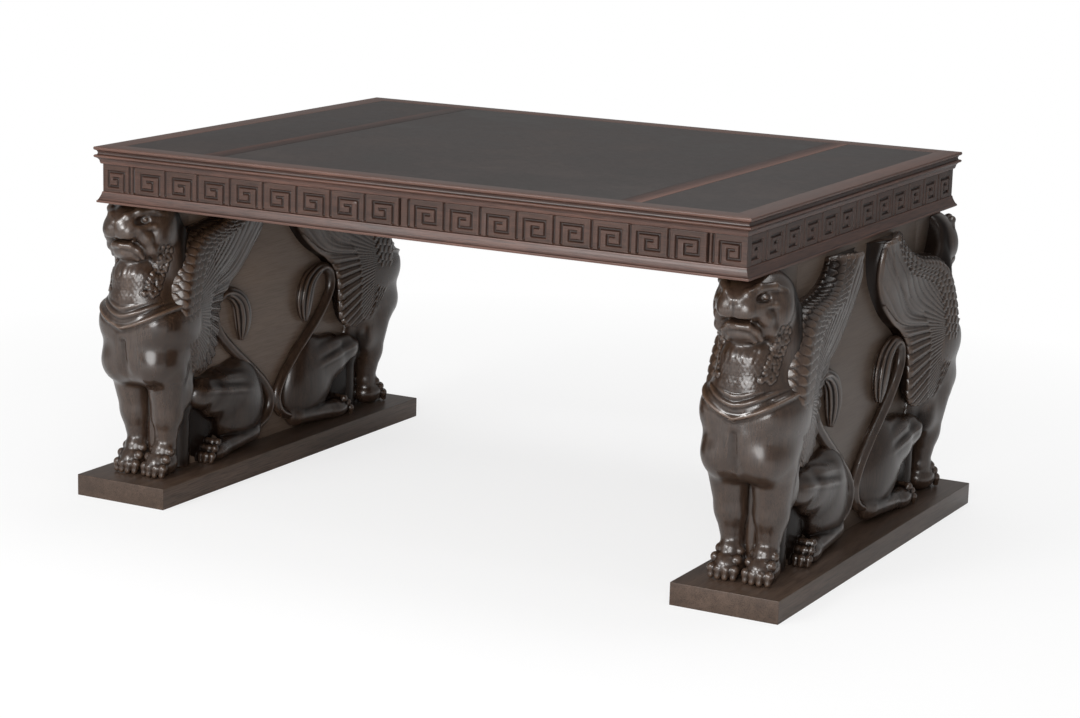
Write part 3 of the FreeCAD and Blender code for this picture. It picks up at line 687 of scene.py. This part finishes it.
def figureHind():
    # The haunch's field, cut flat at the panel and the plinth; two waves along the thigh lift its skin.
    carving = hindCarving
    axes, field = carveField(hind, (14, 40, 40), (100, 384, 280), skin["coarse"] * skin["step"])
    x, z = axes[0][:, None, None], axes[2][None, None, :]
    ends = np.maximum(pedestal["plinthZ"] + skin["footGap"] - z, pedestal["panelX"] - 3.0 - x)
    points, faces = skinField(axes, np.maximum(field, ends))
    points = soften(points, faces)
    x, s, up = points.T
    # two long muscle folds from the hip to the knee, and painted shade in the hollow under the knee
    across = (up - 150) - 0.16 * (s - 100)
    thigh = window(s, 120, 190, 300, 345) * smoothStep(40, 55, x) * window(across, 18, 34, 72, 88)
    fold = carving["foldRise"] * np.cos(across * 2 * math.pi / carving["foldPitch"]) * thigh
    points = points + normalsOf(points, faces) * fold[:, None]
    hollow = smoothStep(205, 235, s) * smoothStep(182, 168, up) * smoothStep(53, 42, x)
    shade = carving["dark"] + carving["kneeShade"] * hollow  # painted shade: all of the haunch darker, more under the knee
    return points, faces, wearAndShadeOf(points, faces, 5, 0.9) - shade


def curveThrough(rows, count):
    # A smooth line through the rows, by a cubic whose slope at a row is half the step between its neighbours,
    # at even steps of its length.
    rows = np.asarray(rows, float)
    pad = np.vstack([2 * rows[0] - rows[1], rows, 2 * rows[-1] - rows[-2]])
    t = np.linspace(0, len(rows) - 1 - 1e-9, 40 * len(rows))
    i = t.astype(int)
    f = (t - i)[:, None]
    a, b, c, d = pad[i], pad[i + 1], pad[i + 2], pad[i + 3]
    bend, twist = 2 * a - 5 * b + 4 * c - d, 3 * b - a - 3 * c + d
    fine = 0.5 * (2 * b + (c - a) * f + bend * f ** 2 + twist * f ** 3)
    run = lengthAlong(fine[:, :3])
    spots = np.linspace(0, run[-1], count)
    return np.stack([np.interp(spots, run, fine[:, k]) for k in range(fine.shape[1])], 1)


def lengthAlong(line):
    # running length of a line of points
    return np.concatenate([[0], np.cumsum(np.linalg.norm(np.diff(line, axis=0), axis=1))])


def closeEnds(rings):
    # a ring grid closed at both ends by a row drawn together to its middle
    caps = [np.broadcast_to(ring.mean(axis=1, keepdims=True), ring.shape) for ring in (rings[:1], rings[-1:])]
    rings = np.concatenate([caps[0], rings, caps[1]])
    return rings.reshape(-1, 3), gridFaces(rings.shape[0], rings.shape[1], loopCols=True)


# Tail: side, forward, up, half width across its line, half thickness off the panel.
tailRows = [(40, 92, 74, 10, 10), (40, 30, 100, 12.5, 11), (40, 13, 138, 12.5, 11),
            (40, 35, 176, 12.5, 11), (40, 78, 214, 12.5, 11), (40, 125, 250, 12.5, 11),
            (40, 170, 284, 12.5, 11), (40, 212, 322, 12.5, 11), (41, 236, 360, 12.5, 11),
            (41, 232, 394, 12.5, 12), (42, 204, 412, 12, 13), (42, 170, 406, 15, 14), (42, 140, 384, 22, 15),
            (42, 127, 350, 25, 15), (41, 126, 318, 19, 12), (40, 130, 294, 5, 6)]
tailCarving = dict(rows=150, ring=40, ridge=0.20, ridgeWidth=0.30, leafStart=0.76, leafFull=0.82,
                   leafRise=0.13, leafGrooves=9, dark=0.08)


def figureTail():
    # A ring drawn along the tail's line: a ridged strap that swells into a grooved leaf at its end.
    carving = tailCarving
    rows, ring = carving["rows"], carving["ring"]
    line = curveThrough(tailRows, rows)
    across = np.cross(np.gradient(line[:, :3], axis=0), (1.0, 0, 0))
    across /= np.linalg.norm(across, axis=1, keepdims=True)
    a = np.linspace(0, 2 * math.pi, ring, endpoint=False)
    leaf = smoothStep(carving["leafStart"], carving["leafFull"], np.linspace(0, 1, rows))[:, None]
    strap = carving["ridge"] * bell(a - math.pi / 2, carving["ridgeWidth"])
    ridge = 1 + strap * (1 - leaf) + leaf * carving["leafRise"] * np.cos(carving["leafGrooves"] * a)
    rings = line[:, None, :3] + (line[:, 3, None] * np.cos(a) * ridge)[..., None] * across[:, None, :]
    rings[..., 0] += line[:, 4, None] * np.sin(a) * ridge
    points, faces = closeEnds(rings)
    return points, faces, wearAndShadeOf(points, faces, 2, 0.5) - carving["dark"]


# Wing: nose line from breast over shoulder to tip, ends of the feathers, and where the scoop meets the panel.
wingLead = [(70, 384, 290), (88, 430, 346), (96, 446, 402), (97, 440, 456), (94, 422, 508), (90, 398, 548),
            (85, 360, 570), (82, 318, 578), (79, 268, 584), (70, 222, 600), (62, 192, 624), (58, 182, 642)]
wingEnds = [(62, 356, 266), (56, 300, 256), (57, 262, 280), (60, 250, 330), (60, 240, 392), (57, 204, 432),
            (54, 160, 456), (52, 118, 486), (52, 84, 522), (54, 62, 560), (59, 56, 600), (66, 66, 640)]
wingHeel = [(28, 352, 286), (28, 318, 282), (28, 284, 300), (28, 268, 345), (28, 250, 394), (28, 204, 430),
            (28, 154, 456), (28, 106, 484), (28, 66, 520), (28, 32, 556), (28, 12, 600), (28, 8, 642)]
wingCarving = dict(fan=314, sheet=104, fall=16, nose=38.0,
                   hub=(452.0, 418.0),  # the feathers spread from here: forward, up
                   shortFeather=0.052, longFeather=0.105,  # turn from feather to feather, in radians
                   scaleWidth=19.0, scaleRow=15.0, scaleRise=4.6, plumeRise=4.4, combRise=2.4, combReach=0.60)


def figureWing():
    # A shell: over a round nose to the feathers and their ends, then down a hollow scoop behind.
    carving = wingCarving
    fan, sheet, fall = carving["fan"], carving["sheet"], carving["fall"]
    lead, ends, heel = (curveThrough(rows, fan)[:, None, :] for rows in (wingLead, wingEnds, wingHeel))
    length = np.linalg.norm((ends - lead)[..., 1:], axis=2)
    nose = np.minimum(carving["nose"], 0.45 * length)
    arc = 1.25 * nose
    blade = length - nose
    w = np.linspace(0, 1, sheet)[None, :]
    run = w * (arc + blade)
    turn = np.clip(run / arc, 0, 1) * math.pi / 2
    past = np.clip((run - arc) / blade, 0, 1)
    onNose = run < arc
    reach = np.where(onNose, nose * (1 - np.cos(turn)), nose + past * blade) / length
    outer = lead + (ends - lead) * reach[..., None]
    foot = pedestal["panelX"] - 4
    crest = foot + (lead[..., 0] - foot) * np.sin(turn)
    flank = lead[..., 0] + (ends[..., 0] - lead[..., 0]) * past + 6 * np.sin(math.pi * past)
    outer[..., 0] = np.where(onNose, crest, flank)
    d = np.linspace(0, 1, fall + 1)[None, 1:, None] * math.pi / 2
    scoop = ends + (heel - ends) * (1 - np.cos(d))
    scoop[..., 0] = (ends[..., 0] - 4) + (heel[..., 0] - ends[..., 0] + 4) * np.sin(d[..., 0])
    # three layers: round scales over the nose, a comb of short feathers, and long ones that bend up
    spread = lengthAlong(lead[:, 0])[:, None]
    back, rise = carving["hub"][0] - outer[..., 1], outer[..., 2] - carving["hub"][1]
    far = np.hypot(back, rise)
    ray = np.arctan2(rise, back) - 0.0011 * (far - 150) * smoothStep(-0.1, 0.5, np.arctan2(rise, back))
    ray = ray + 0.012 * np.sin(far / 31.0) + 0.02 * np.sin(9 * ray)
    short, long = (ray / carving["shortFeather"]) % 1.0, (ray / carving["longFeather"]) % 1.0
    archShort, archLong = (np.sqrt(np.clip(1 - (2 * q - 1) ** 2, 0, 1)) for q in (short, long))
    scallop = 5 * np.sin(spread * 2 * math.pi / carving["scaleWidth"])
    scales = smoothStep(3, -3, run - arc - np.clip(0.28 * blade, 12, 46) - scallop)
    comb = smoothStep(3, -3, run - arc - carving["combReach"] * blade - 6 * archShort)
    plume = 0.9 * archLong + 0.35 * bell(long - 0.5, 0.08) + 0.12 * np.cos(5 * 2 * math.pi * long)
    lift = carving["plumeRise"] * plume * (1 - comb)
    lift += (2.2 + carving["combRise"] * archShort) * comb * (1 - scales)
    scaleForm = shingles(spread / carving["scaleWidth"] + 0 * w, -run / carving["scaleRow"])
    lift += (3.4 + carving["scaleRise"] * scaleForm) * scales
    lift = lift * smoothStep(1.0, 0.96, w) * smoothStep(0, 14, run)
    tuck = 1 + 0.05 * (archLong - 0.6) * smoothStep(0.75, 1.0, w)
    outer = lead + (outer - lead) * tuck[..., None]
    points, faces = closeEnds(np.concatenate([outer, scoop], 1))
    normals = normalsOf(points, faces)
    if normals.reshape(fan + 2, -1, 3)[fan // 2, sheet // 2, 0] < 0:
        faces = faces[:, ::-1]
        normals = -normals
    height = np.zeros((fan + 2, sheet + fall))
    height[1:-1, :sheet] = lift
    points = points + normals * height.reshape(-1, 1)
    wearAndShade = wearAndShadeOf(points, faces, 6, 1.3).reshape(fan + 2, -1)
    wearAndShade[:, sheet:] = 0.12  # painted shade: the scoop is dark, and so is the upper nose
    wearAndShade[1:-1, :sheet] -= 0.42 * smoothStep(0.95, 0.45, run / arc) * smoothStep(500, 560, lead[..., 2])
    return points, faces, wearAndShade.ravel()


figures = dict(body=figureBody(), hind=figureHind(), tail=figureTail(), wing=figureWing())
print("figures carved, triangles:", {part: 2 * len(made[1]) for part, made in figures.items()})


def placeFigure(part, mirror, back, x):
    # figure coordinates to the desk's: mirror swaps the side, back turns the figure round
    points, faces, wearAndShade = figures[part]
    signs = np.array([1.0 if mirror == back else -1.0, 1.0 if back else -1.0, 1.0])
    return points * signs + np.array([x, 0, 0]), faces if mirror else faces[:, ::-1], wearAndShade


for word, sign in (("left", -1), ("right", 1)):
    for end, back in (("front", False), ("back", True)):
        lead = "griffin_" + word + "_" + end
        pieces = [("body", "", False, [lead + "_body"])]
        for near, mirror in (("_near", False), ("_far", True)):
            pieces += [("hind", near, mirror, [lead + "_haunch" + near]), ("tail", near, mirror, []),
                       ("wing", near, mirror, [lead + "_wing" + near])]
        for part, near, mirror, nodes in pieces:
            points, faces, wearAndShade = placeFigure(part, mirror, back, sign * pedestal["x"])
            addPiece("carved_" + lead + "_" + part + near, points, faces, polishedDark, nodes, grain=upright,
                     wearAndShade=wearAndShade)
print("figures placed")

# The drawer boxes and the hidden frame show their CAD solids, in oak.
for name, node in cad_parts.items():
    if name.startswith(("drawer", "bearer", "centre")):
        node.data.materials.clear()
        node.data.materials.append(drawerOak)

# Stage: a pale floor that fades into a white room, and soft studio light. Lengths in metres.
stage = dict(floorHalf=40.0, floorGrey=0.86, fadeFrom=0.9, fadeTo=2.4, whiteNear=0.74, worldLight=0.31)
floorMade, add = newMaterial("stage_floor_white")
seen = add("LightPath", out="Is Camera Ray")
matte = add("BsdfDiffuse", {"Color": (stage["floorGrey"],) * 3 + (1,)})
white = add("Emission", {"Color": (1, 1, 1, 1), "Strength": 1.0})
place = add("TexCoord", out="Object")
away = add("VectorMath", (place,), "Value", operation="LENGTH")
fade = add("MapRange", (away, stage["fadeFrom"], stage["fadeTo"], stage["whiteNear"], 1.0))
share = add("Math", (seen, fade), operation="MULTIPLY")
add("OutputMaterial", {"Surface": add("MixShader", (share, matte, white))})
floorMesh = bpy.data.meshes.new("stage_floor")
size = stage["floorHalf"]
corners = [(-size, -size, 0), (size, -size, 0), (size, size, 0), (-size, size, 0)]
floorMesh.from_pydata(corners, [], [(0, 1, 2, 3)])
floorMesh.materials.append(floorMade)
floor = addObject("stage_floor", floorMesh)

world = bpy.data.worlds.new("studio_white")
bpy.context.scene.world = world
world.use_nodes = True
world.node_tree.nodes.clear()
add = partial(addNode, world.node_tree)
seen = add("LightPath", out="Is Camera Ray")
strength = add("MapRange", (seen, 0.0, 1.0, stage["worldLight"], 1.0))
sky = add("Background", {"Color": (1, 1, 1, 1), "Strength": strength})
add("OutputWorld", {"Surface": sky})


def standAt(made, across, upward, back, place):
    # turns an object to three unit axes and puts it at a place in metres
    turn = np.eye(4)
    turn[:3, 0], turn[:3, 1], turn[:3, 2], turn[:3, 3] = across, upward, back, place
    made.matrix_world = Matrix(turn.tolist())


def softLight(name, place, target, size, power):
    # an oval lamp at place that faces the target
    lamp = bpy.data.lights.new(name, "AREA")
    lamp.shape = "ELLIPSE"
    lamp.size, lamp.size_y = size
    lamp.energy = power
    made = addObject(name, lamp)
    way = np.array(target, float) - np.array(place, float)
    back = -way / np.linalg.norm(way)
    across = np.cross((0, 0, 1), back)
    across /= np.linalg.norm(across)
    standAt(made, across, np.cross(back, across), back, place)


# Lamps: name, place, target, width and height in metres, watts.
lamps = [("key_front", (-1.0, -4.6, 2.5), (0, 0, 0.4), (1.6, 1.2), 104),
         ("spark_front", (1.9, -4.4, 2.2), (0.2, 0, 0.4), (0.7, 0.7), 18),
         ("spark_left", (-1.25, -2.3, 1.75), (-0.5, -0.5, 0.45), (1.0, 0.8), 10),
         ("fill_low", (1.6, -4.0, 1.15), (-0.7, 0, 0.4), (3.0, 2.1), 102),
         ("sheen_left", (-2.7, -4.6, 1.5), (0.0, -0.4, 0.4), (3.0, 2.0), 34),
         ("side_right", (2.6, -1.0, 3.6), (0.7, 0, 0.6), (0.45, 0.45), 9),
         ("overhead", (0.3, 0.8, 3.6), (0.2, 0.1, 0.7), (3.0, 2.0), 50)]
for lamp in lamps:
    softLight(*lamp)
print("stage lit")

# Camera: focal length, frame and centre in pixels, sensor and place in millimetres, turns in radians.
view = dict(focal=2717.8, width=1080.0, height=718.0, centreX=491.28, centreY=360.78, sensor=36.0,
            place=(2718.4, -5060.8, 1562.6))
yaw, pitch, roll = -0.5079, 0.2152, 0.0249
cameraData = bpy.data.cameras.new("camera")
camera = addObject("camera", cameraData)
bpy.context.scene.camera = camera
ahead = np.array([math.sin(yaw) * math.cos(pitch), math.cos(yaw) * math.cos(pitch), -math.sin(pitch)])
across = np.array([math.cos(yaw), -math.sin(yaw), 0.0])
upward = np.cross(across, ahead)
acrossTurned = math.cos(roll) * across + math.sin(roll) * upward
upwardTurned = -math.sin(roll) * across + math.cos(roll) * upward
standAt(camera, acrossTurned, upwardTurned, -ahead, np.array(view["place"]) * metre)
cameraData.sensor_width = view["sensor"]
cameraData.lens = view["sensor"] * view["focal"] / view["width"]
cameraData.shift_x = (view["width"] / 2 - view["centreX"]) / view["width"]
cameraData.shift_y = (view["centreY"] - view["height"] / 2) / view["width"]
cameraData.clip_start, cameraData.clip_end = 0.1, 100.0
bpy.context.scene.view_settings.view_transform = "Standard"

print("scene done")
